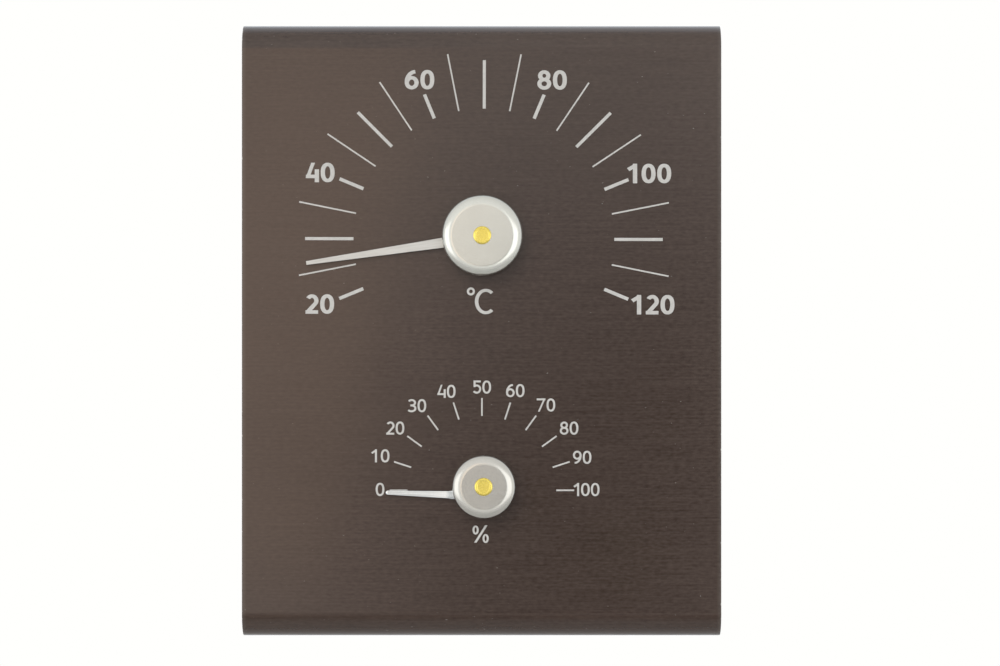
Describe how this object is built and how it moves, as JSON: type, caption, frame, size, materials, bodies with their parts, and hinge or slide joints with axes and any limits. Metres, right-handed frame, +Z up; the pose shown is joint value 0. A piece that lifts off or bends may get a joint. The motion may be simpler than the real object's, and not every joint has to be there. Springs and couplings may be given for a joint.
{
  "type": "sauna thermo-hygrometer",
  "caption": "Folded metal wall instrument for a sauna: a bimetal thermometer above a coil hygrometer, each with a pointer, a round cap and an engraved scale.",
  "frame": {"origin": "axis of the wall screw at the upper end of the keyhole slot, on the plane of the wall", "axes": "+Z up, -Y out of the wall through the face, +X to the right as seen from the front"},
  "size_m": [0.125, 0.0277, 0.16],
  "materials": {
    "brown_anodised": "horizontally brushed, dark brown anodised",
    "satin_aluminium": "fine satin",
    "pointer_aluminium": "satin",
    "bright_strip": "bright rolled",
    "brass": "turned and polished",
    "bimetal": "rolled strip",
    "humidity_strip": "rolled strip with a matt moisture-sensitive coat",
    "zinc_steel": "zinc plated",
    "fibre": "matt fibre"
  },
  "bodies": {
    "case": {"face_shell": "brown_anodised", "thermometer_pin": "brass", "thermometer_cap": "satin_aluminium", "thermometer_coil": "bimetal", "thermometer_spacer": "fibre", "thermometer_lock_washer": "zinc_steel", "thermometer_nut": "zinc_steel", "hygrometer_pin": "brass", "hygrometer_cap": "satin_aluminium", "hygrometer_coil": "humidity_strip", "hygrometer_spacer": "fibre", "hygrometer_lock_washer": "zinc_steel", "hygrometer_nut": "zinc_steel"},
    "thermometer_hand": {"thermometer_pointer": "pointer_aluminium", "thermometer_pointer_rivet": "brass"},
    "hygrometer_hand": {"hygrometer_pointer": "bright_strip", "hygrometer_pointer_rivet": "brass"}
  },
  "joints": [
    {"name": "thermometer_reading", "type": "hinge", "parent": "case", "child": "thermometer_hand", "pos_m": [0.0002, -0.0215, -0.04635], "axis": [0, 1, 0], "range_deg": [-15, 212], "stiffness_Nm_per_rad": 0.006},
    {"name": "hygrometer_reading", "type": "hinge", "parent": "case", "child": "hygrometer_hand", "pos_m": [0.00055, -0.0215, -0.11135], "axis": [0, 1, 0], "range_deg": [0, 187], "stiffness_Nm_per_rad": 0.0003}
  ]
}
